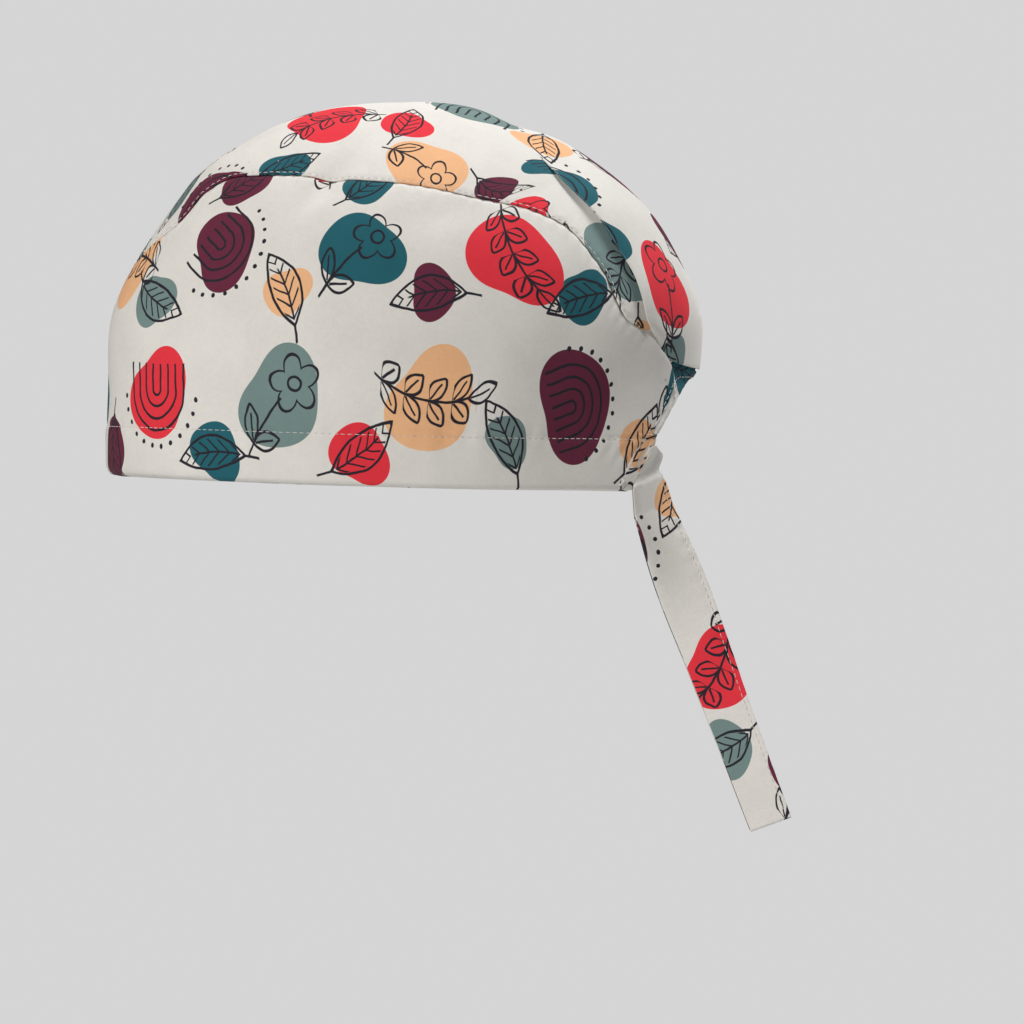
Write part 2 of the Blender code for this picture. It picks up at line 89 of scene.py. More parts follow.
def lengthAlong(points):
    return np.concatenate([[0], np.cumsum(np.linalg.norm(np.diff(points, axis=0), axis=1))])


def curveThrough(rows, steps=60):
    table = np.column_stack([lengthAlong(rows), rows])
    at = np.linspace(0, table[-1, 0], (len(rows) - 1) * steps + 1)
    return np.column_stack([smoothAt(at, table, 1 + k) for k in range(rows.shape[1])])


def spaced(points, shares):
    along = lengthAlong(points)
    at = shares * along[-1]
    return np.column_stack([np.interp(at, along, points[:, k]) for k in range(points.shape[1])])


def unit(vectors):
    return vectors / np.maximum(np.linalg.norm(vectors, axis=-1, keepdims=True), 1e-12)


def reachAt(y):  # the form reaches less far to the brow than to the pouch
    return np.where(y < 0, form["browReach"], form["pouchReach"])


def reachToY(reach):
    return form["back"] + reachAt(reach) * reach


def liftToZ(lift):
    return form["level"] + form["crownRise"] * lift


def formShare(points):  # distance from the centre over the ellipsoid's, divided by the fullness at that tilt
    off = points - centre
    x = off[..., 0] / form["halfWidth"]
    y = off[..., 1] / reachAt(off[..., 1])
    z = off[..., 2] / form["crownRise"]
    flat = np.hypot(x, y)
    tilt = np.degrees(np.arctan2(z, flat))
    side = (x / np.maximum(flat, 1e-5)) ** 2
    ends = np.where(y < 0, smoothAt(tilt, fullness, 1), smoothAt(tilt, fullness, 3))
    return np.hypot(flat, z) / (side * smoothAt(tilt, fullness, 2) + (1 - side) * ends)


def onForm(points):
    return centre + (points - centre) / formShare(points)[..., None]


def formNormal(points):  # slope of the share, taken over a hundredth of a millimetre
    slopes = [formShare(points + step) - formShare(points - step) for step in np.eye(3) * 1e-5]
    return unit(np.stack(slopes, axis=-1))


def halved(low, high, tooFar):  # halves the span 40 times to find where tooFar begins
    for _ in range(40):
        middle = (low + high) / 2
        beyond = tooFar(middle)
        low, high = np.where(beyond, low, middle), np.where(beyond, middle, high)
    return low


def seenFromSide(y, z):  # points of the left side
    x = halved(np.zeros_like(y), np.full_like(y, 1.5 * form["halfWidth"]),
               lambda x: formShare(np.stack([x, y, z], axis=-1)) > 1)
    return onForm(np.stack([x, y, z], axis=-1))


def sideCurve(rows):
    drawn = curveThrough(rows)
    return seenFromSide(reachToY(drawn[:, 0]), liftToZ(drawn[:, 1]))


def napeY(z):
    return rim["nape"] + z * math.tan(math.radians(rim["slant"]))


def sunk(points, depth):
    return points - formNormal(points) * np.asarray(depth)[..., None]


def patch(left, right, first, last, across, down=None):  # Coons patch between four edges
    s = (np.linspace(0, 1, len(left)) if down is None else down)[:, None, None]
    c = across[..., None]
    sides = (1 - c) * left[:, None] + c * right[:, None]
    corners = (1 - s) * ((1 - c) * left[0] + c * right[0]) + s * ((1 - c) * left[-1] + c * right[-1])
    return sides + (1 - s) * first + s * last - corners


def inset(points, distance):  # an edge moved along the form, to the left of its way
    aside = np.cross(formNormal(points), np.gradient(points, axis=0))
    return onForm(points + unit(aside) * distance)


def toMiddle(points, share):
    eased = points.copy()
    eased[:, 0] -= points[0, 0] * np.clip(1 - np.linspace(0, 1, len(points)) / share, 0, 1) ** 2
    return onForm(eased)


def distanceTo(points, line):  # nearest point of a densely spaced line, worked out in slices
    blocks = np.array_split(points.reshape(-1, 3), 40)
    parts = [np.sqrt(((block[:, None] - line) ** 2).sum(-1).min(1)) for block in blocks]
    return np.concatenate(parts).reshape(points.shape[:-1])


def foldDepth(points):  # each soft fold is a long bell-shaped dent, drawn from the side
    depth = np.zeros(points.shape[:-1])
    for reach, lift, turn, length, breadth, deep in softFolds:
        y, z = points[..., 1] - reachToY(reach), points[..., 2] - liftToZ(lift)
        c, s = math.cos(math.radians(turn)), math.sin(math.radians(turn))
        along = (y * c + z * s) / (length * form["crownRise"])
        across = (z * c - y * s) / (breadth * form["crownRise"])
        depth += deep * np.exp(-along ** 2 - across ** 2)
    return depth


def ripple(points, seed, wavelength, height):  # sum of twelve plane waves in seeded directions
    rng = np.random.default_rng(seed)
    way = rng.normal(size=(12, 3))
    way *= (2 * math.pi / wavelength / rng.uniform(0.7, 1.5, 12) / np.linalg.norm(way, axis=1))[:, None]
    phase = rng.uniform(0, 2 * math.pi, 12)
    return height * np.sin(points @ way.T + phase).sum(-1) / math.sqrt(6)


def bell(x):
    return np.exp(-x ** 2)


def ramp(x):  # smooth step from 0 to 1
    t = np.clip(x, 0, 1)
    return t * t * (3 - 2 * t)


# Camera: the photograph's side view, 0.4 mm a pixel, from far away
camera = dict(distance=10.0, fieldWidth=0.4096, aimY=0.0568, aimZ=-0.0088, sensor=36.0)


def addObject(name, data):
    thing = bpy.data.objects.new(name, data)
    bpy.context.scene.collection.objects.link(thing)
    return thing


def addCamera():
    data = bpy.data.cameras.new("camera")
    data.sensor_width = camera["sensor"]
    data.lens = camera["sensor"] * camera["distance"] / camera["fieldWidth"]
    data.clip_end = 100
    thing = addObject("camera", data)
    thing.location = (camera["distance"], camera["aimY"], camera["aimZ"])
    thing.rotation_euler = (math.pi / 2, 0, math.pi / 2)
    bpy.context.scene.camera = thing


addCamera()
print("camera placed")


# Shader nodes
def node(tree, kind, **values):
    made = tree.nodes.new(kind)
    for name, value in values.items():
        setattr(made, name, value)
    return made


def feed(tree, socket, value):
    if isinstance(value, Value):
        value = value.socket
    if isinstance(value, bpy.types.NodeSocket):
        tree.links.new(value, socket)
    elif value is not None:
        socket.default_value = value


class Value:  # a node's output; sums and comparisons add nodes, & multiplies and | takes the larger
    def __init__(self, tree, socket):
        self.tree, self.socket = tree, socket

    def maths(self, operation, *others):
        made = node(self.tree, "ShaderNodeMath", operation=operation)
        for socket, value in zip(made.inputs, (self, *others)):
            feed(self.tree, socket, value)
        return Value(self.tree, made.outputs[0])

    def __add__(self, other):
        return self.maths("ADD", other)

    def __sub__(self, other):
        return self.maths("SUBTRACT", other)

    def __rsub__(self, other):
        return self * -1.0 + other

    def __mul__(self, other):
        return self.maths("MULTIPLY", other)

    def __truediv__(self, other):
        return self.maths("DIVIDE", other)

    def __mod__(self, other):
        return self.maths("FLOORED_MODULO", other)

    def __abs__(self):
        return self.maths("ABSOLUTE")

    def __and__(self, other):
        return self.maths("MULTIPLY", other)

    def __or__(self, other):
        return self.maths("MAXIMUM", other)

    def __gt__(self, other):
        return self.maths("GREATER_THAN", other)

    def __lt__(self, other):
        return self.maths("LESS_THAN", other)


def vectorMaths(tree, operation, a, b=None, scale=None):
    made = node(tree, "ShaderNodeVectorMath", operation=operation)
    feed(tree, made.inputs[0], a)
    feed(tree, made.inputs[1], b)
    feed(tree, made.inputs[3], scale)
    return Value(tree, made.outputs["Value" if operation == "LENGTH" else "Vector"])


def mixed(tree, share, a, b):
    made = node(tree, "ShaderNodeMix", data_type="RGBA")
    for place, value in ((0, share), (6, a), (7, b)):
        feed(tree, made.inputs[place], value)
    return made.outputs[2]


def split(tree, vector):
    made = node(tree, "ShaderNodeSeparateXYZ")
    feed(tree, made.inputs[0], vector)
    return Value(tree, made.outputs[0]), Value(tree, made.outputs[1])


def joined(tree, x, y, z=0.0):
    made = node(tree, "ShaderNodeCombineXYZ")
    for socket, value in zip(made.inputs, (x, y, z)):
        feed(tree, socket, value)
    return made.outputs[0]


def turned(tree, vector, angle):
    made = node(tree, "ShaderNodeVectorRotate", rotation_type="Z_AXIS")
    feed(tree, made.inputs["Vector"], vector)
    feed(tree, made.inputs["Angle"], angle)
    return made.outputs[0]


def speckle(tree, vector, scale, detail=2.0):
    noise = node(tree, "ShaderNodeTexNoise")
    feed(tree, noise.inputs["Vector"], vector)
    noise.inputs["Scale"].default_value = scale
    noise.inputs["Detail"].default_value = detail
    return noise


def far(x, y):
    return (x * x + y * y).maths("SQRT")


def falling(value, low, high):  # 1 below low, 0 above high, smooth between
    made = node(value.tree, "ShaderNodeMapRange", interpolation_type="SMOOTHSTEP")
    for socket, part in zip(made.inputs, (value, low, high, 1.0, 0.0)):
        feed(value.tree, socket, part)
    return Value(value.tree, made.outputs[0])


def within(value, width, soft=0.00012):  # 1 where the size of value is under the width, with a soft edge
    return falling(abs(value), width - soft, width + soft)


def newGroup(name, inputs, outputs):
    tree = bpy.data.node_groups.new(name, "ShaderNodeTree")
    for direction, sockets in (("INPUT", inputs), ("OUTPUT", outputs)):
        for label, kind in sockets:
            tree.interface.new_socket(label, in_out=direction, socket_type="NodeSocket" + kind)
    return tree, tree.nodes.new("NodeGroupInput"), tree.nodes.new("NodeGroupOutput")


# The print: rounded pebbles in five inks, and over them sprigs, flowers, arches and leaves in thin dark line
inks = dict(
    teal=(0.020, 0.128, 0.162, 1), red=(0.850, 0.042, 0.062, 1), sage=(0.195, 0.282, 0.270, 1),
    peach=(0.930, 0.520, 0.275, 1), plum=(0.150, 0.026, 0.055, 1), line=(0.026, 0.024, 0.033, 1),
    cloth=(0.820, 0.790, 0.742, 1),
)
layout = dict(cellWidth=0.060, cellHeight=0.053, jitter=0.006, pebble=0.0150, pebbleSpread=0.0035,
              small=0.0088, smallSpread=0.003, smallPlace=(0.030, 0.0177, 0), chance=3.7,
              twoLobes=0.13, threeLobes=0.085, edge=0.00012, wobble=0.0016, wobbleScale=120.0)
lineWidth = 0.00050
fullTurn = 6.283
inkOrder = ("teal", "red", "sage", "peach", "plum")


def leafOutline(x, y, length, width):  # two mirrored parabolas that meet at both ends, and a midrib
    t = x / length
    bow = t * (1.0 - t) * (4 * width)
    slope = (1.0 - t * 2.0) * (4 * width / length)
    off = (abs(y) - bow) / (slope * slope + 1.0).maths("SQRT")
    rib = within(y, lineWidth * 0.8) & within(t - 0.42, 0.34, 0.02)
    return (within(off, lineWidth) | rib) & (t > -0.02) & (t < 1.02)


sprig = dict(bend=14.0, middle=-0.004, stem=0.0195, every=0.0095, first=-0.0205, leafTurn=52, leaf=0.0105,
             leafWidth=0.0030, leafMiddle=-0.0015, leafStretch=0.0190, tip=0.0145, tipWidth=0.0032)


def sprigLines(x, y):  # a bent stem with pairs of leaves at even steps and one leaf at its tip
    bent = y - x * x * sprig["bend"]
    stalk = within(bent, lineWidth) & within(x - sprig["middle"], sprig["stem"], 0.0004)
    step = (x - sprig["first"]) % sprig["every"]
    away = abs(bent)
    c, s = math.cos(math.radians(sprig["leafTurn"])), math.sin(math.radians(sprig["leafTurn"]))
    pairs = leafOutline(step * c + away * s, away * c - step * s, sprig["leaf"], sprig["leafWidth"])
    pairs = pairs & within(x - sprig["leafMiddle"], sprig["leafStretch"], 0.0003)
    tip = leafOutline(x - sprig["tip"], bent, sprig["leaf"], sprig["tipWidth"])
    return stalk | pairs | tip


flower = dict(lift=0.008, petals=5, size=0.0098, inner=0.60, swing=0.45, bold=1.15, eye=0.0026, bend=9.0,
              stemMiddle=-0.0120, stem=0.0125, leafFoot=-0.0190, leaf=0.0125, leafWidth=0.0030)


def flowerLines(x, y):  # petals where the radius swings with the angle, an eye, a stem and a pair of leaves
    high = y - flower["lift"]
    radius = far(x, high)
    swing = abs((high.maths("ARCTAN2", x) * (flower["petals"] / 2)).maths("COSINE"))
    edge = (swing * flower["swing"] + flower["inner"]) * flower["size"]
    petals = within(radius - edge, lineWidth * flower["bold"])
    eye = within(radius - flower["eye"], lineWidth)
    bent = x - y * y * flower["bend"]
    stalk = within(bent, lineWidth) & within(y - flower["stemMiddle"], flower["stem"], 0.0003)
    low = y - flower["leafFoot"]
    away = abs(bent)
    slant = math.sqrt(0.5)
    leaves = leafOutline((low + away) * slant, (low - away) * slant, flower["leaf"], flower["leafWidth"])
    return petals | eye | stalk | leaves


arch = dict(step=0.0042, count=4, lift=-0.002, foot=-0.011, seedEvery=0.26, seedRing=0.0205, seed=0.0009)


def archLines(x, y):  # nested arches on straight feet, with a row of seeds above
    step = arch["step"]
    high = y - arch["lift"]
    radius = far(x, high.maths("MAXIMUM", 0.0))
    rings = within(radius % step - step / 2, lineWidth) & within(radius, arch["count"] * step, 0.0002)
    turn = high.maths("ARCTAN2", x) % arch["seedEvery"] - arch["seedEvery"] / 2
    seed = far(turn * arch["seedRing"], radius - arch["seedRing"])
    seeds = within(seed, arch["seed"]) & (y > arch["lift"])
    return rings & (y > arch["foot"]) | seeds


largeLeaf = dict(length=0.030, width=0.0062, ahead=0.002, bend=9.0, veinEvery=0.0045, veinSlant=1.1,
                 veinShare=0.8, firstVein=0.05, stalkMiddle=-0.0025, stalk=0.0035)


def leafLines(x, y):  # one large leaf on a short stalk, with slanting veins
    length, every = largeLeaf["length"], largeLeaf["veinEvery"]
    along = x + (length / 2 - largeLeaf["ahead"])
    bent = y - x * x * largeLeaf["bend"]
    t = along / length
    bow = t * (1.0 - t) * (4 * largeLeaf["veinShare"] * largeLeaf["width"])
    vein = (along - abs(bent) * largeLeaf["veinSlant"]) % every - every / 2
    veins = within(vein, lineWidth) & (abs(bent) < bow) & (t > largeLeaf["firstVein"])
    stalk = within(bent, lineWidth) & within(along - largeLeaf["stalkMiddle"], largeLeaf["stalk"], 0.0003)
    return leafOutline(along, bent, length, largeLeaf["width"]) | veins | stalk


def cellPlace(tree, vector, shift):  # place in a cell of the brick-like layout, four chances, column and row
    u, v = split(tree, vectorMaths(tree, "ADD", vector, shift))
    q = v / layout["cellHeight"]
    row = q.maths("FLOOR")
    p = u / layout["cellWidth"] + row % 2.0 * 0.5
    column = p.maths("FLOOR")
    x = (p.maths("FRACT") - 0.5) * layout["cellWidth"]
    y = (q.maths("FRACT") - 0.5) * layout["cellHeight"]
    chance = node(tree, "ShaderNodeTexWhiteNoise", noise_dimensions="3D")
    feed(tree, chance.inputs["Vector"], joined(tree, column, row, layout["chance"] + 100 * shift[0]))
    parts = node(tree, "ShaderNodeSeparateColor")
    feed(tree, parts.inputs[0], chance.outputs["Color"])
    luck = [Value(tree, socket) for socket in (*parts.outputs[:3], chance.outputs["Value"])]
    jitter = layout["jitter"]
    here = joined(tree, x + (luck[0] * jitter - jitter / 2), y + (luck[1] * jitter - jitter / 2))
    return here, luck, column, row


def pebbleShape(tree, here, size, spread, luck):  # radius swings twice and three times round
    x, y = split(tree, turned(tree, here, luck[3] * fullTurn))
    angle = y.maths("ARCTAN2", x)
    twice = (angle * 2.0).maths("COSINE")
    thrice = (angle * 3.0 + luck[0] * fullTurn).maths("COSINE")
    swing = twice * layout["twoLobes"] + (thrice * layout["threeLobes"] + 1.0)
    outside = vectorMaths(tree, "LENGTH", here) - swing * (luck[1] * spread + size)
    return falling(outside, -layout["edge"], layout["edge"])


def inkChart(tree, column, row, start):  # one of the five inks, by place in the layout
    chart = node(tree, "ShaderNodeValToRGB")
    stops = chart.color_ramp
    stops.interpolation = "CONSTANT"
    stops.elements.remove(stops.elements[1])
    stops.elements[0].color = inks[inkOrder[0]]
    for number, ink in enumerate(inkOrder[1:], 1):
        stops.elements.new(number / 5).color = inks[ink]
    feed(tree, chart.inputs[0], (row * 2.0 + column + start) % 5.0 * 0.2 + 0.02)
    return chart.outputs[0]


def shaken(tree, vector, place, turn):  # turned by chance, with the wobble of a drawn line
    wobble = speckle(tree, vector, layout["wobbleScale"])
    shake = vectorMaths(tree, "SUBTRACT", wobble.outputs["Color"], (0.5, 0.5, 0.5))
    drawn = turned(tree, place, turn * fullTurn)
    shake = vectorMaths(tree, "SCALE", shake, scale=layout["wobble"])
    return split(tree, vectorMaths(tree, "ADD", drawn, shake))


def makePrintGroup():
    tree, start, end = newGroup("pebblePrint", [("Vector", "Vector")], [("Color", "Color"), ("Ink", "Float")])
    vector = start.outputs["Vector"]
    here, luck, column, row = cellPlace(tree, vector, (0, 0, 0))
    pebble = pebbleShape(tree, here, layout["pebble"], layout["pebbleSpread"], luck)
    x, y = shaken(tree, vector, here, luck[2])
    kind = (column * 2.0 + row) % 3.0
    drawings = [draw(x, y) & kind.maths("COMPARE", float(number), 0.1)
                for number, draw in enumerate((sprigLines, flowerLines, archLines))]
    there, luck2, column2, row2 = cellPlace(tree, vector, layout["smallPlace"])
    small = pebbleShape(tree, there, layout["small"], layout["smallSpread"], luck2)
    lines = drawings[0] | drawings[1] | drawings[2] | leafLines(*shaken(tree, vector, there, luck2[2]))
    painted = mixed(tree, small, inks["cloth"], inkChart(tree, column2, row2, 3.0))
    painted = mixed(tree, pebble, painted, inkChart(tree, column, row, 0.0))
    feed(tree, end.inputs["Color"], mixed(tree, lines, painted, inks["line"]))
    feed(tree, end.inputs["Ink"], pebble | small | lines)
    return tree


cloth = dict(thread=0.00035, crinkle=0.00024, weaveHeight=0.00004, roughness=0.88, faded=0.30, backTone=0.92,
             dark=0.93, light=1.06, specular=0.14, sheen=0.04, sheenRoughness=0.5, bump=0.55)


def makeWeaveGroup():
    outputs = [("Height", "Float"), ("Tone", "Float")]
    tree, start, end = newGroup("wovenCloth", [("Vector", "Vector")], outputs)
    vector = start.outputs["Vector"]
    u, v = ((part * math.pi / cloth["thread"]).maths("SINE") for part in split(tree, vector))
    weave = u * v
    fine, finest, broad = (Value(tree, speckle(tree, vector, scale, detail).outputs[0])
                           for scale, detail in ((420.0, 3.0), (1100.0, 2.0), (55.0, 2.0)))
    crinkle = (fine * 0.65 + finest * 0.35) * cloth["crinkle"]
    feed(tree, end.inputs["Height"], weave * cloth["weaveHeight"] + crinkle)
    feed(tree, end.inputs["Tone"], broad * 0.45 + fine * 0.25 + finest * 0.30 + weave * 0.05)
    return tree


printGroup = makePrintGroup()
weaveGroup = makeWeaveGroup()


def newMaterial(name):
    material = bpy.data.materials.new(name)
    material.use_nodes = True
    return material, material.node_tree, material.node_tree.nodes["Principled BSDF"]


def clothMaterial(name, slide=(0, 0, 0), turn=0.0, printShare=1.0, tone=1.0):
    material, tree, shader = newMaterial(name)
    place = node(tree, "ShaderNodeMapping")
    feed(tree, place.inputs[0], node(tree, "ShaderNodeUVMap", uv_map="cloth").outputs[0])
    place.inputs["Location"].default_value = slide
    place.inputs["Rotation"].default_value = (0, 0, math.radians(turn))
    weave = node(tree, "ShaderNodeGroup", node_tree=weaveGroup)
    feed(tree, weave.inputs["Vector"], place.outputs[0])
    printed = node(tree, "ShaderNodeGroup", node_tree=printGroup)
    feed(tree, printed.inputs["Vector"], place.outputs[0])
    colour = printed.outputs["Color"]
    if printShare < 1:
        colour = mixed(tree, printShare, inks["cloth"], colour)
    shade = node(tree, "ShaderNodeMapRange")
    tones = (weave.outputs["Tone"], 0.3, 0.7, cloth["dark"] * tone, cloth["light"] * tone)
    for socket, part in zip(shade.inputs, tones):
        feed(tree, socket, part)
    feed(tree, shader.inputs["Base Color"], vectorMaths(tree, "SCALE", colour, scale=shade.outputs[0]))
    for label, value in (("Roughness", cloth["roughness"]), ("Specular IOR Level", cloth["specular"]),
                         ("Sheen Weight", cloth["sheen"]), ("Sheen Roughness", cloth["sheenRoughness"])):
        shader.inputs[label].default_value = value
    bump = node(tree, "ShaderNodeBump")
    bump.inputs["Strength"].default_value = cloth["bump"]
    bump.inputs["Distance"].default_value = 1.0
    feed(tree, bump.inputs["Height"], weave.outputs["Height"])
    feed(tree, shader.inputs["Normal"], bump.outputs[0])
    return material


def clothPair(name, slide, turn):  # the printed side and the paler wrong side
    return [clothMaterial(name + "Cloth", slide, turn),
            clothMaterial(name + "ClothBack", slide, turn, cloth["faded"], cloth["backTone"])]


def speckledMaterial(name, scale, dark, light, roughness):
    material, tree, shader = newMaterial(name)
    noise = speckle(tree, node(tree, "ShaderNodeTexCoord").outputs["Object"], scale)
    feed(tree, shader.inputs["Base Color"], mixed(tree, noise.outputs[0], dark, light))
    shader.inputs["Roughness"].default_value = roughness
    return material


# Meshes
def gridQuads(rows, columns, around):
    i, k = np.meshgrid(np.arange(rows - 1), np.arange(columns if around else columns - 1), indexing="ij")
    here, beside = i * columns + k, i * columns + (k + 1) % columns
    return np.stack([here, beside, beside + columns, here + columns], -1).reshape(-1, 4)


def gridMesh(name, grid, uv, around=False):
    quads = gridQuads(*grid.shape[:2], around)
    points = grid.reshape(-1, 3)
    corners = points[quads]
    facing = np.cross(corners[:, 2] - corners[:, 0], corners[:, 3] - corners[:, 1])
    outward = corners.mean(1) - (points.mean(0) if around else centre)
    if (facing * outward).sum() < 0:
        quads = quads[:, ::-1]
    mesh = bpy.data.meshes.new(name)
    mesh.from_pydata(points.tolist(), [], quads.tolist())
    layer = mesh.uv_layers.new(name="cloth")
    layer.data.foreach_set("uv", uv.reshape(-1, 2)[quads].reshape(-1).astype(np.float32))
    return mesh


def weldDoubles(mesh):
    bm = bmesh.new()
    bm.from_mesh(mesh)
    bmesh.ops.remove_doubles(bm, verts=bm.verts, dist=2e-6)
    bm.to_mesh(mesh)
    bm.free()


def addPiece(name, mesh, materials, replaces=(), wall=None):
    weldDoubles(mesh)
    mesh.shade_smooth()
    for material in materials:
        mesh.materials.append(material)
    piece = addObject(name, mesh)
    if wall:
        solid = piece.modifiers.new("wall", "SOLIDIFY")
        solid.thickness = wall
        solid.offset = -1.0
        solid.material_offset = 1 if len(materials) > 1 else 0
    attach(piece, "root")
    if replaces:
        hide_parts(*replaces)
    return piece


def mirrored(grid):  # right half, middle, left half, in one grid
    return np.concatenate([grid[:, :0:-1] * (-1, 1, 1), grid], axis=1)


def mirroredUv(uv):
    return np.concatenate([uv[:, :0:-1] * (-1, 1), uv], axis=1)


def outwards(directions, points):  # turned round where they point to the form's centre
    return directions * np.where((directions * (points - centre)).sum(-1, keepdims=True) < 0, -1, 1)


# Edges: a grid's last column rolls half round and runs back under the cloth
def edgeFrame(grid, back=4):  # directions at the last column: back into the cloth, and outwards from it
    edge = grid[:, -1]
    along = unit(np.gradient(edge, axis=0))
    inward = unit(grid[:, -1 - back] - edge)
    inward -= along * (inward * along).sum(-1, keepdims=True)
    level = np.cross(along, formNormal(edge))
    inward = unit(inward + 0.35 * level * np.sign((level * inward).sum()))
    return inward, outwards(np.cross(along, inward), edge)


def foldProfile(width, radius, turnSteps=6, backSteps=4):  # how far in from the edge's column, and how deep
    turn = np.linspace(0, math.pi, turnSteps + 1)[1:]
    back = np.linspace(0, width, backSteps + 1)[1:]
    depth = np.concatenate([radius * (1 - np.cos(turn)), np.full(backSteps, 2 * radius)])
    return np.column_stack([np.concatenate([-radius * np.sin(turn), back]), depth])


def addMargin(grid, uv, profile):  # profile: how far in and how deep each new column lies
    inward, out = edgeFrame(grid)
    profile = np.broadcast_to(profile, (len(grid),) + profile.shape[-2:])
    margin = grid[:, -1:] + inward[:, None] * profile[..., :1] - out[:, None] * profile[..., 1:]
    steps = np.diff(profile, axis=1, prepend=np.zeros_like(profile[:, :1]))
    run = np.cumsum(np.linalg.norm(steps, axis=-1), axis=1)
    marginUv = uv[:, -1:] + unit(uv[:, -1] - uv[:, -5])[:, None] * run[..., None]
    return np.concatenate([grid, margin], axis=1), np.concatenate([uv, marginUv], axis=1)


def addRowMargin(grid, uv, profile):
    grid, uv = addMargin(grid.swapaxes(0, 1), uv.swapaxes(0, 1), profile)
    return grid.swapaxes(0, 1), uv.swapaxes(0, 1)


# Crown panel
crown = dict(rows=196, pouchColumns=36, foldColumns=20, stripColumns=10, foldWidth=0.006, lap=0.0036,
             lip=0.0011, lipReach=0.0046, fade=0.010, pleatCloth=0.028, stripShare=0.16, allowance=0.007,
             foldRadius=0.0005, cornerDip=0.0012, stitchIn=0.0012, pucker=0.00016, puckerEvery=0.0074,
             groove=0.00022, alongRadius=0.122, acrossRadius=0.104, wall=0.00042)
seamSteps = np.array([6.0, 4.6, 3.4, 2.4, 1.7, 1.2, 0.8, 0.5]) / 1000  # columns beside the seam


def middleTurn(point):
    off = point - centre
    return math.atan2(off[2] / form["crownRise"], -off[1] / reachAt(off[1]))


def crownLines(count):
    rows = np.linspace(0, 1, count + 1)
    seam = spaced(toMiddle(sideCurve(crownSeam), 0.12), rows)
    edge = toMiddle(sideCurve(pouchEdge)[::-1], 1)
    turn = np.linspace(middleTurn(seam[0]), middleTurn(edge[0]), 900)
    arc = np.stack([np.zeros_like(turn), reachToY(-np.cos(turn)), liftToZ(np.sin(turn))], axis=-1)
    return seam, edge, spaced(onForm(arc), rows)


def crownCloth(seam, edge, middle, across):
    tip = np.broadcast_to(seam[0], across.shape + (3,))
    last = spaced(edge, across.reshape(-1)).reshape(across.shape + (3,))
    return onForm(patch(middle, seam, tip, last, across))


def pleatPlace(seam, edge, middle):  # where across each row the pleat runs, and how wide the row is
    fine = np.tile(np.linspace(0, 1, 241), (len(seam), 1))
    points = crownCloth(seam, edge, middle, fine)
    pleat = curveThrough(pleatLine)[::-1]
    ahead = points[..., 1] < np.interp(points[..., 2], liftToZ(pleat[:, 1]), reachToY(pleat[:, 0]))
    ahead[:, -1] = True
    place = np.clip(fine[0][np.argmax(ahead, axis=1)], 0.40, 0.97)
    kernel = np.bartlett(17) / np.bartlett(17).sum()
    wide = np.maximum(np.linalg.norm(np.diff(points, axis=1), axis=-1).sum(1), 1e-4)
    place = np.convolve(np.pad(place, 8, mode="edge"), kernel, mode="valid")
    return np.maximum(place - crown["lipReach"] / wide, 0.30), wide


def crownUv(points, extra):  # by the angle out from the crown's middle line and the angle along it
    way = unit((points - centre) / (form["halfWidth"], form["pouchReach"], form["crownRise"]))
    along = np.arctan2(way[..., 2], -way[..., 1]) * crown["alongRadius"]
    return np.stack([np.arcsin(np.clip(way[..., 0], -1, 1)) * crown["acrossRadius"] + extra, along], axis=-1)


def pathLength(grid):
    return np.cumsum(np.linalg.norm(np.diff(grid, axis=1, prepend=grid[:, :1]), axis=-1), axis=1)


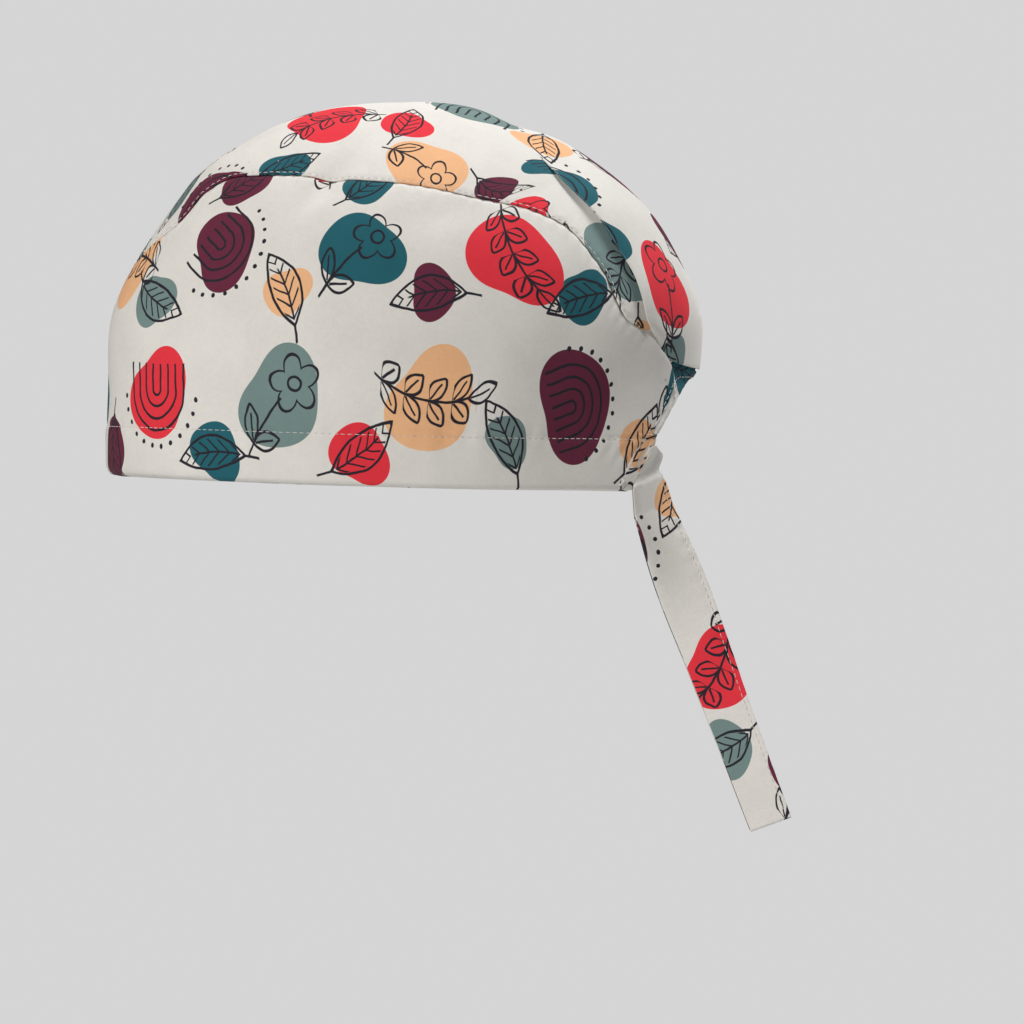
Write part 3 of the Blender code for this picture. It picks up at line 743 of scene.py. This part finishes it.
def crownPanel():
    seam, edge, middle = crownLines(crown["rows"])
    place, wide = pleatPlace(seam, edge, middle)
    squeeze = np.minimum(1, 0.6 * (1 - place) * wide / seamSteps[0])
    beside = seamSteps[None] * (squeeze / wide)[:, None]
    foldEnd = place + np.minimum(crown["foldWidth"] / wide, 0.30 * (1 - place))
    q = np.linspace(0, 1, crown["foldColumns"] + 1)
    pouch = place[:, None] * np.linspace(0, 1, crown["pouchColumns"] + 1)
    fold = place[:, None] + (foldEnd - place)[:, None] * q[1:]
    strip = np.linspace(0, 1, crown["stripColumns"] + 1)[1:]
    rest = foldEnd[:, None] + (1 - beside[:, :1] - foldEnd[:, None]) * strip
    across = np.concatenate([pouch, fold, rest, 1 - beside[:, 1:]], axis=1)
    base = crownCloth(seam, edge, middle, across)

    line = base[:, crown["pouchColumns"]]
    strength = ramp((line[:, 1] - reachToY(0.40)) / 0.026) * ramp((liftToZ(0.93) - line[:, 2]) / 0.020)
    strength *= ramp((line[:, 2] - liftToZ(0.275)) / 0.007)
    lap = np.minimum(crown["lap"], 0.42 * (1 - place) * wide) * strength
    column = np.arange(across.shape[1])
    at = np.clip((column - crown["pouchColumns"]) / crown["foldColumns"], 0, 1)
    before = np.linalg.norm(base - line[:, None], axis=-1)
    after = np.clip((across - foldEnd[:, None]) / (1 - foldEnd[:, None]), 0, 1)
    shift = lap[:, None] * np.sin(2 * math.pi * at)
    lipShape = np.where(column < crown["pouchColumns"], np.exp(-before / crown["fade"]), np.cos(math.pi * at))
    height = crown["lip"] * strength[:, None] * lipShape * (1 - ramp(after))
    lapped = crownCloth(seam, edge, middle, np.clip(across + shift / wide[:, None], 0, 1))

    toSeam = distanceTo(lapped, spaced(seam, np.linspace(0, 1, 1200)))
    along = np.linspace(0, 1, len(seam))[:, None] * 0.33
    tug = np.sin(along / crown["puckerEvery"] * 2 * math.pi + 2.0 * np.sin(along * 90))
    pucker = crown["pucker"] * tug * bell(toSeam / 0.004)
    depth = foldDepth(lapped) - height + pucker * ramp(toSeam / 0.002)
    depth += crown["groove"] * bell((toSeam - crown["stitchIn"]) / 0.0006)
    toEnd = crown["rows"] - np.arange(len(seam))[:, None]
    depth += crown["cornerDip"] * ramp((15 - toEnd) / 9) * bell(toSeam / 0.004)
    final = sunk(lapped, depth)
    takenUp = crown["pleatCloth"] * strength[:, None] * ramp((at - 0.3) / 0.4)
    uv = crownUv(base, pathLength(final) - pathLength(base) + takenUp)
    final[:, 0, 0] = 0
    final[0] = final[0, 0]
    stitches = final[4:-10, -3]
    final, uv = addRowMargin(final, uv, foldProfile(0.005, crown["foldRadius"]))
    narrowing = 1 - ramp((np.arange(1, len(final)) - crown["rows"] + 10) / 8)
    profile = foldProfile(crown["allowance"], crown["foldRadius"]) * narrowing[:, None, None]
    slim = np.minimum(1, crown["stripShare"] * (1 - place) * wide / crown["allowance"])
    slim = np.pad(1 + (slim - 1) * strength, (0, len(final) - len(slim)), mode="edge")
    profile[..., 0] *= slim[1:, None]
    final, uv = addMargin(final[1:], uv[1:], profile)
    return mirrored(final), mirroredUv(uv), stitches


def settle(grid, seed=11):  # small soft waves all over, the same for each layer of a place
    wobble = ripple(grid, seed, 0.045, 0.00012) + ripple(grid, seed + 1, 0.017, 0.00005)
    return grid - formNormal(grid) * wobble[..., None]


# Side panel
side = dict(seamColumns=184, pastColumns=34, wallRows=46, footShare=0.25, stitchHeight=0.0195,
            hemRadius=0.0006, foldRadius=0.00045, allowance=0.006, seamDip=0.00105, overlap=0.0011,
            lift=0.0006, flare=0.0012, underSlope=0.0019, groove=0.00030, doubled=0.00028, pucker=0.00013,
            puckerEvery=0.0080, crease=0.00055, creaseEvery=0.0064, creaseDepth=0.0011, tug=0.00020,
            tugEvery=0.0058, wall=0.00042)
hemHeights = np.array([
    -0.9, 0.2, 1.6, 3.4, 5.5, 7.8, 10.0, 12.0, 14.0, 15.8, 17.2, 18.3, 19.0, 19.5, 20.0, 20.7, 21.6,
]) / 1000


def levelLine(height):
    turn = np.linspace(0, math.pi, 601)
    z = rim["rise"] * ((1 + np.cos(turn)) / 2) ** 1.6 + height

    def at(tilt):
        flat = np.cos(np.radians(tilt))
        return onForm(centre + np.stack([form["halfWidth"] * flat * np.sin(turn),
                                         -reachAt(-np.cos(turn)) * flat * np.cos(turn),
                                         form["crownRise"] * np.sin(np.radians(tilt))], axis=-1))

    line = at(halved(np.full_like(turn, -16.0), np.full_like(turn, 40.0), lambda tilt: at(tilt)[:, 2] > z))
    return line[line[:, 1] <= napeY(line[:, 2])]


def sideRear(hemEnd, shares):  # rear edge: up the nape's slant to the band's foot, then up beside the band
    drawn = sideCurve(rearEdge)
    point = np.argmax(drawn[:, 1])
    up = np.linspace(0, 1, 61)
    rise = hemEnd[2] + (drawn[0, 2] - hemEnd[2]) * up
    lower = seenFromSide(napeY(rise) - rim["foot"] * up ** 2, rise)
    foot = side["footShare"]
    below = spaced(lower, np.clip(shares / foot, 0, 1))
    above = spaced(drawn[:point + 1], np.clip((shares - foot) / (1 - foot), 0, 1))
    return np.where(shares[:, None] < foot, below, above), drawn[point:][::-1]


def sideUv(points):  # round the head by length at a middle level, and up by angle
    off = points - centre
    reach = reachAt(off[..., 1])
    turn = np.arctan2(off[..., 0] / form["halfWidth"], -off[..., 1] / reach)
    steps = np.linspace(-math.pi, math.pi, 721)
    ring = np.column_stack([form["halfWidth"] * np.sin(steps), -reachAt(-np.cos(steps)) * np.cos(steps)])
    length = lengthAlong(ring)
    flat = np.hypot(off[..., 0] / form["halfWidth"], off[..., 1] / reach)
    tilt = np.arctan2(off[..., 2] / form["crownRise"], flat)
    around = np.interp(turn, steps, length - length[360])
    quarter = np.sign(around) * length[-1] / 4
    return np.stack([quarter + (around - quarter) * (0.5 + 0.5 * np.cos(tilt)), tilt * 0.122], axis=-1)


def hemRoll(grid):
    facing = np.clip(-formNormal(grid)[..., 1], 0, 1)
    radius = rim["roll"] * (0.3 + 0.7 * facing ** 2)
    left = np.clip(1 - (grid[..., 2] - grid[:1, :, 2]) / radius, 0, 1)
    return radius * (1 - np.sqrt(1 - left ** 2))


def gridNormals(grid):
    return outwards(unit(np.cross(np.gradient(grid, axis=0), np.gradient(grid, axis=1))), grid)


def sidePanel():
    seam = crownLines(side["seamColumns"])[0]
    shares = 1 - 0.07 * np.linspace(0.92, 0, 9)[1:] ** 1.5
    shares = np.concatenate([np.linspace(0, 0.93, side["wallRows"] - 8), shares])
    hemRows = [levelLine(height) for height in hemHeights]
    _, past = sideRear(hemRows[-1][-1], shares)
    top = np.concatenate([seam, spaced(past, np.linspace(0, 1, side["pastColumns"] + 1))[1:]])
    top[0, 0] = 0
    across = (lengthAlong(top) / lengthAlong(top)[-1] + np.linspace(0, 1, len(top))) / 2
    hem = np.stack([spaced(row, across) for row in hemRows])
    rear, _ = sideRear(hem[-1, -1], shares)
    front = hem[-1, 0] + shares[:, None] * (top[0] - hem[-1, 0])
    wall = onForm(patch(front, rear, hem[-1:], top[None], across[None], shares))
    wall[-1] = top
    grid = np.concatenate([hem, wall[1:]])
    grid[:, 0, 0] = 0

    columns = np.arange(grid.shape[1])
    lapping = ramp((columns - side["seamColumns"] + 8) / 6)
    grid[-1] += unit(grid[-1] - grid[-3]) * side["overlap"] * lapping[:, None]
    toSeam = distanceTo(grid, spaced(seam, np.linspace(0, 1, 1200)))
    dip = side["seamDip"] * np.exp(-(toSeam / 0.0011) ** 1.3) * (1 - lapping)
    lift = side["lift"] * bell(toSeam / 0.008) * lapping
    level = grid[..., 2] - hem[:1, :, 2] + hemHeights[0]
    along = lengthAlong(hem[0])
    toStitch = level - side["stitchHeight"]
    groove = side["groove"] * bell(toStitch / 0.0009)
    doubled = side["doubled"] * (1 - ramp((toStitch + 0.0004) / 0.0012))
    drag = (along[None] + 0.35 * toStitch) / side["puckerEvery"] * 2 * math.pi
    pucker = side["pucker"] * np.sin(drag + 1.6 * np.sin(along * 60)) * bell(toStitch / 0.0055)
    toRear = along[-1] - along[None]
    crease = np.cos(toRear / side["creaseEvery"] * 2 * math.pi + 0.9 * np.sin(level * 420))
    crease = side["crease"] * crease + side["creaseDepth"]
    crease = crease * np.exp(-toRear / 0.010) * bell((level - 0.0140) / 0.0062) * ramp(toRear / 0.0015)
    crease = crease * ramp(level / 0.007)
    topAlong = lengthAlong(top)[None]
    tug = np.sin(topAlong / side["tugEvery"] * 2 * math.pi + 2.2 * np.sin(topAlong * 70))
    tug = side["tug"] * tug * bell((toSeam - 0.0025) / 0.0038) * (1 - lapping)
    flare = side["flare"] * np.clip(1 - level / side["stitchHeight"], 0, 1)
    depth = foldDepth(grid) + hemRoll(grid) + dip - lift + groove - doubled
    final = sunk(grid, depth + pucker + crease + tug - flare)
    uv = sideUv(grid)
    hemStitches = final[np.argmin(abs(hemHeights - side["stitchHeight"])), 1:-9]
    rearStitches = final[19:, -4]

    profile = foldProfile(side["allowance"], side["foldRadius"])
    reach = np.linspace(0, 1, len(profile) + 1)[1:]
    under = np.column_stack([-side["allowance"] * reach, 0.0003 + side["underSlope"] * reach])
    blended = under[None] * (1 - lapping)[:, None, None] + profile[None] * lapping[:, None, None]
    final, uv = addRowMargin(final, uv, blended)
    narrowing = 1 - ramp((np.arange(len(final)) - len(grid) + 7) / 6)
    profile = foldProfile(side["allowance"], side["foldRadius"]) * narrowing[:, None, None]
    final, uv = addMargin(final, uv, profile)

    normals = gridNormals(final)
    bottom, out = final[0], normals[0]
    up = unit(final[1] - final[0])
    turn = np.linspace(math.pi, 0, 7)[:-1, None, None]
    radius = side["hemRadius"]
    rolled = bottom - radius * out + radius * (np.cos(turn) * out - np.sin(turn) * up)
    inside = final[1:16:2][::-1] - 2 * radius * normals[1:16:2][::-1]
    insideUv = uv[0] - (uv[1:16:2][::-1] - uv[0])
    final = np.concatenate([inside, rolled, final])
    uv = np.concatenate([insideUv, np.repeat(uv[:1], 6, axis=0), uv])
    return mirrored(final), mirroredUv(uv), hemStitches, rearStitches


# Back band
band = dict(columns=72, hem=0.0036, foldRadius=0.00045, knee=0.34, blunt=0.15, tuck=0.0017, inset=0.0005,
            bulge=0.0013, stitchIn=0.0005, groove=0.00022, doubled=0.00022, pucker=0.00018,
            puckerEvery=0.0066, wall=0.00042)


def bandOuter(shares, edge):  # behind the pouch's edge, then behind the side panel down to the foot
    drawn = sideCurve(rearEdge)
    pouch = inset(edge, band["inset"])
    pouch[0, 0] = 0
    panel = inset(drawn[::-1], -band["inset"])
    after = band["knee"] + band["blunt"]
    first = spaced(pouch, (1 - band["blunt"]) * np.clip(shares / band["knee"], 0, 1))
    last = spaced(panel, 0.06 + 0.94 * np.clip((shares - after) / (1 - after), 0, 1))
    between = np.clip((shares - band["knee"]) / band["blunt"], 0, 1)[:, None]
    return np.where(shares[:, None] < after, first * (1 - between) + last * between, last)


def backBand():
    edge = crownLines(side["seamColumns"])[1]
    shares = np.linspace(0, 1, band["columns"] + 1)
    footZ = liftToZ(rearEdge[0, 1]) + 0.001
    arch = curveThrough(openingArch)[::-1]
    z = footZ + (rim["opening"] - footZ) * arch[:, 1]
    free = seenFromSide(napeY(z), z) * np.stack([arch[:, 0], np.ones_like(z), np.ones_like(z)], axis=-1)
    inner = spaced(free, shares)
    outer = sunk(bandOuter(shares, edge), np.full(len(shares), band["tuck"]))
    t = np.concatenate([np.linspace(-0.35, 0.6, 8), 1 - 0.4 * np.linspace(0.9, 0.03, 9) ** 1.3])
    t = t[:, None, None]
    grid = outer + t * (inner - outer)
    along, wide = lengthAlong(inner), np.linalg.norm(inner - outer, axis=-1)
    toEdge = (1 - t[..., 0]) * wide
    toHem = toEdge - band["hem"]
    groove = band["groove"] * bell((toHem + band["stitchIn"]) / 0.0007)
    doubled = band["doubled"] * (1 - ramp(toHem / 0.0008))
    pucker = band["pucker"] * np.sin(along / band["puckerEvery"] * 2 * math.pi) * bell(toHem / 0.004)
    bulge = band["bulge"] * ramp(t[..., 0] / 0.25) * (1 - ramp((t[..., 0] - 0.55) / 0.45))
    grid = sunk(grid, foldDepth(grid) + groove - doubled + pucker - bulge)
    grid[:, 0, 0] = 0
    uv = np.stack([np.broadcast_to(along, toEdge.shape), toEdge], axis=-1)
    stitches = grid[np.argmin(abs(toHem[:, 10] + band["stitchIn"])), 1:]
    grid, uv = addRowMargin(grid, uv, foldProfile(band["hem"], band["foldRadius"]))
    return mirrored(grid), mirroredUv(uv), stitches


# Ties
tie = dict(width=0.0205, length=0.163, swing=20.5, tuck=0.0022, tuckRun=0.011, top=0.88, rows=150,
           around=36, thickness=0.0013, stitchIn=0.0021, groove=0.00022, rolling=0.0009, wave=0.00025,
           pucker=0.00012, crease=0.0008)
tieSections = np.array([  # share of the length below the top, share of the full width, twist in degrees
    (0.000, 0.200, 46), (0.027, 0.540, 46), (0.067, 0.780, 46), (0.101, 0.920, 46), (0.145, 1.000, 44),
    (0.220, 1.000, 36), (0.300, 1.000, 22), (0.400, 1.000, 4), (0.560, 1.000, -16), (0.760, 1.000, -27),
    (1.000, 1.000, -34),
])


def tieAxes(root):  # fore edge, direction across and width of each row, from the hem's rear end
    swing = math.radians(tie["swing"])
    down = np.array([0, math.sin(swing), -math.cos(swing)])
    topZ = root[0, 2] + tie["top"] * (root[-1, 2] - root[0, 2])
    rootLength = (topZ - root[0, 2]) / math.cos(swing)
    places = np.linspace(0, 1, tie["rows"] + 1) ** 1.15
    twist = np.radians(smoothAt(places, tieSections, 2))
    wide = np.stack([-np.sin(twist), np.cos(twist) * math.cos(swing), np.cos(twist) * math.sin(swing)], -1)
    fall = places * tie["length"]
    z = np.maximum(topZ - fall * math.cos(swing), root[0, 2])
    beside = np.stack([np.interp(z, root[:, 2], root[:, k]) for k in range(3)], axis=-1) + (0, 0.001, 0)
    beside = beside - np.array([0.0007, 0.0028, 0]) * ramp((z - root[0, 2]) / 0.004)[:, None]
    below = np.maximum(fall - rootLength, 0)[:, None]
    turned = tie["width"] / 2 * (wide[0] - wide) * (below > 0)
    tucked = np.clip(below / tie["tuckRun"], 0, 1) * (0, -tie["tuck"], 0)
    width = tie["width"] * smoothAt(places, tieSections, 1)
    return beside + below * down + turned + tucked, wide, width, down, fall


def tieStrip():
    root = np.stack([spaced(levelLine(height), np.array([1.0]))[0] for height in np.linspace(0, 0.019, 9)])
    fore, wide, width, down, fall = tieAxes(root)
    out = np.cross(down, wide)
    out *= np.sign(out[-1, 0])
    turn = np.linspace(0, 2 * math.pi, tie["around"] + 1)[:-1]
    place = np.sign(np.cos(turn)) * abs(np.cos(turn)) ** 0.6
    x = place[None] * width[:, None] / 2
    half = tie["thickness"] / 2 * np.sin(turn)[None] * (1 - 0.25 * place[None])
    fromStitch = tie["width"] / 2 - tie["stitchIn"] - x
    half = half - np.sign(half) * tie["groove"] * bell(fromStitch / 0.0009)
    run = fall[:, None]
    wave = tie["wave"] * np.sin(run / 0.0115 + 2.2 * place + 1.5 * np.sin(run * 70))
    wave = wave + tie["rolling"] * np.sin(run / 0.047) * place
    pucker = tie["pucker"] * np.sin(run / 0.0011) * bell(fromStitch / 0.0030)
    crease = tie["crease"] * np.cos((x * 1.9 + run) / 0.0034) * bell(run / 0.019)
    y = half + (wave + pucker) * ramp((run - 0.012) / 0.03) + crease * ramp(run / 0.006)
    middle = fore + wide * width[:, None] / 2
    grid = middle[:, None] + x[..., None] * wide[:, None] + y[..., None] * out[:, None]
    across = np.where(np.sin(turn) >= 0, x, tie["width"] - x)
    uv = np.stack([across, np.broadcast_to(run, x.shape)], axis=-1)
    stitchX = np.full((len(fall), 1), tie["width"] / 2 - tie["stitchIn"])
    faceY = np.stack([np.interp(stitchX[i], x[i, :19][::-1], y[i, :19][::-1]) for i in range(len(fall))])
    stitches = middle + stitchX * wide + faceY * out
    return grid, uv, stitches[24:-2], np.broadcast_to(out[24:-2], stitches[24:-2].shape)


def closedTube(name, grid, uv):  # a ring of points a row, capped at both ends
    rows, count = grid.shape[:2]
    mesh = gridMesh(name, grid, uv, around=True)
    bm = bmesh.new()
    bm.from_mesh(mesh)
    bm.verts.ensure_lookup_table()
    layer = bm.loops.layers.uv["cloth"]
    for start in (0, (rows - 1) * count):
        cap = bm.faces.new([bm.verts[start + k] for k in range(count)])
        for loop in cap.loops:
            loop[layer].uv = uv.reshape(-1, 2)[loop.vert.index]
    bmesh.ops.recalc_face_normals(bm, faces=bm.faces)
    bm.to_mesh(mesh)
    bm.free()
    return mesh


# Stitches: a row of short bowed threads that dive into the cloth at both ends
thread = dict(length=0.0024, gap=0.0004, radius=0.00015, rise=0.00018, dive=0.00045, rings=5, sides=5)


def stitchRow(path, out):
    along = lengthAlong(path)
    pitch = thread["length"] + thread["gap"]
    count = int(along[-1] / pitch)
    t = np.linspace(0, 1, thread["rings"])
    at = np.arange(count)[:, None] * pitch + thread["gap"] / 2 + t * thread["length"]
    point = np.stack([np.interp(at, along, path[:, k]) for k in range(3)], axis=-1)
    normal = unit(np.stack([np.interp(at, along, out[:, k]) for k in range(3)], axis=-1))
    aside = np.cross(unit(np.gradient(point, axis=1)), normal)
    lift = thread["rise"] - thread["dive"] * (2 * t - 1) ** 4
    turn = np.linspace(0, 2 * math.pi, thread["sides"] + 1)[:-1]
    thick = thread["radius"] * np.sqrt(np.clip(1.02 - (2 * t - 1) ** 6, 0.05, 1))
    ring = np.cos(turn)[:, None] * aside[:, :, None] + np.sin(turn)[:, None] * normal[:, :, None]
    points = (point + normal * lift[:, None])[:, :, None] + ring * thick[:, None, None]
    return points.reshape(count, thread["rings"], thread["sides"], 3)


def stitchMesh(name, rowsOfStitches):
    points = np.concatenate(rowsOfStitches)
    count, rings, sides = points.shape[:3]
    start = (np.arange(count) * rings * sides)[:, None, None]
    faces = (gridQuads(rings, sides, True) + start).reshape(-1, 4).tolist()
    ends = np.stack([np.arange(sides)[::-1], (rings - 1) * sides + np.arange(sides)])
    faces += (ends[None] + start).reshape(-1, sides).tolist()
    mesh = bpy.data.meshes.new(name)
    mesh.from_pydata(points.reshape(-1, 3).tolist(), [], faces)
    return mesh


def bothSides(stitches):
    other = stitches * (-1, 1, 1)
    return [stitches, other[:, :, ::-1]]


def addPanel(name, grid, uv, kind, slide, turn, solid, wall):
    mesh = gridMesh(name, settle(grid), uv)
    return addPiece(name, mesh, clothPair(kind, slide, turn), [solid], wall)


print("crown panel")
grid, uv, crownStitches = crownPanel()
crownPiece = addPanel("crownPanel", grid, uv, "crown", (0.013, 0.021, 0), 14, "crown_panel", crown["wall"])
print("side panel")
grid, uv, hemStitches, rearStitches = sidePanel()
sidePiece = addPanel("sidePanel", grid, uv, "side", (0.039, 0.012, 0), 0, "side_panel", side["wall"])
print("back band")
grid, uv, bandStitches = backBand()
bandPiece = addPanel("backBand", grid, uv, "band", (0.0244, 0.0195, 0), 25, "back_band", band["wall"])
print("ties")
grid, uv, tieStitches, tieOut = tieStrip()
tieCloth = clothPair("tie", (0.136, 0.038, 0), -8)[:1]
tiePieces = [addPiece(name, closedTube(name, grid * (way, 1, 1), uv), tieCloth, [solid])
             for name, way, solid in (("tieLeft", 1, "tie_left"), ("tieRight", -1, "tie_right"))]

print("stitches")
sewn = speckledMaterial("sewingThread", 2500.0, (0.62, 0.60, 0.56, 1), (0.86, 0.84, 0.80, 1), 0.6)
seams = (("crownStitches", crownStitches, "crown_cloth"), ("hemStitches", hemStitches, "side_cloth"),
         ("rearStitches", rearStitches, "side_cloth"), ("bandStitches", bandStitches, "band_cloth"))
runs = [(name, settle(path), formNormal(path), slot) for name, path, slot in seams]
for name, path, out, slot in (*runs, ("tieStitches", tieStitches, tieOut, "tie_cloth")):
    addPiece(name, stitchMesh(name, bothSides(stitchRow(path, out))), [sewn])


# Lights, floor and world
light = dict(
    key=dict(place=(2.2, -1.8, 1.6), size=1.3, power=67, colour=(1.0, 0.985, 0.96)),
    top=dict(place=(-0.7, 0.9, 2.5), size=1.2, power=40, colour=(1.0, 1.0, 1.0)),
    back=dict(place=(-0.8, 1.7, 2.0), size=1.0, power=36, colour=(0.98, 0.99, 1.0)),
    side=dict(place=(2.9, -0.7, 0.2), size=1.6, power=5, colour=(0.97, 0.985, 1.0)),
)
room = dict(background=0.665, ambient=0.03, floorLevel=-0.30, floorRadius=2.5, lightsAim=(0.0, 0.01, 0.05))


def addLights():
    target = Vector(room["lightsAim"])
    for name, values in light.items():
        data = bpy.data.lights.new(name, "AREA")
        data.energy = values["power"]
        data.size = values["size"]
        data.color = values["colour"]
        thing = addObject(name, data)
        thing.location = values["place"]
        thing.rotation_euler = (target - Vector(values["place"])).to_track_quat("-Z", "Y").to_euler()


def addRoom():
    world = bpy.data.worlds.new("studio")
    bpy.context.scene.world = world
    world.use_nodes = True
    tree = world.node_tree
    tree.nodes.clear()
    seen = node(tree, "ShaderNodeBackground")
    seen.inputs[0].default_value = (room["background"],) * 3 + (1,)
    lit = node(tree, "ShaderNodeBackground")
    lit.inputs[0].default_value = (room["ambient"],) * 3 + (1,)
    pick = node(tree, "ShaderNodeMixShader")
    tree.links.new(node(tree, "ShaderNodeLightPath").outputs["Is Camera Ray"], pick.inputs[0])
    tree.links.new(lit.outputs[0], pick.inputs[1])
    tree.links.new(seen.outputs[0], pick.inputs[2])
    tree.links.new(pick.outputs[0], node(tree, "ShaderNodeOutputWorld").inputs[0])
    bpy.ops.mesh.primitive_circle_add(vertices=96, radius=room["floorRadius"], fill_type="NGON",
                                      location=(0, 0, room["floorLevel"]))
    floor = bpy.context.object
    floor.name = "floor"
    floor.data.materials.append(
        speckledMaterial("paleFloor", 3.0, (0.56, 0.56, 0.56, 1), (0.59, 0.59, 0.59, 1), 0.9))
    bpy.context.scene.view_settings.view_transform = "Standard"


addLights()
addRoom()
print("lights and floor placed")
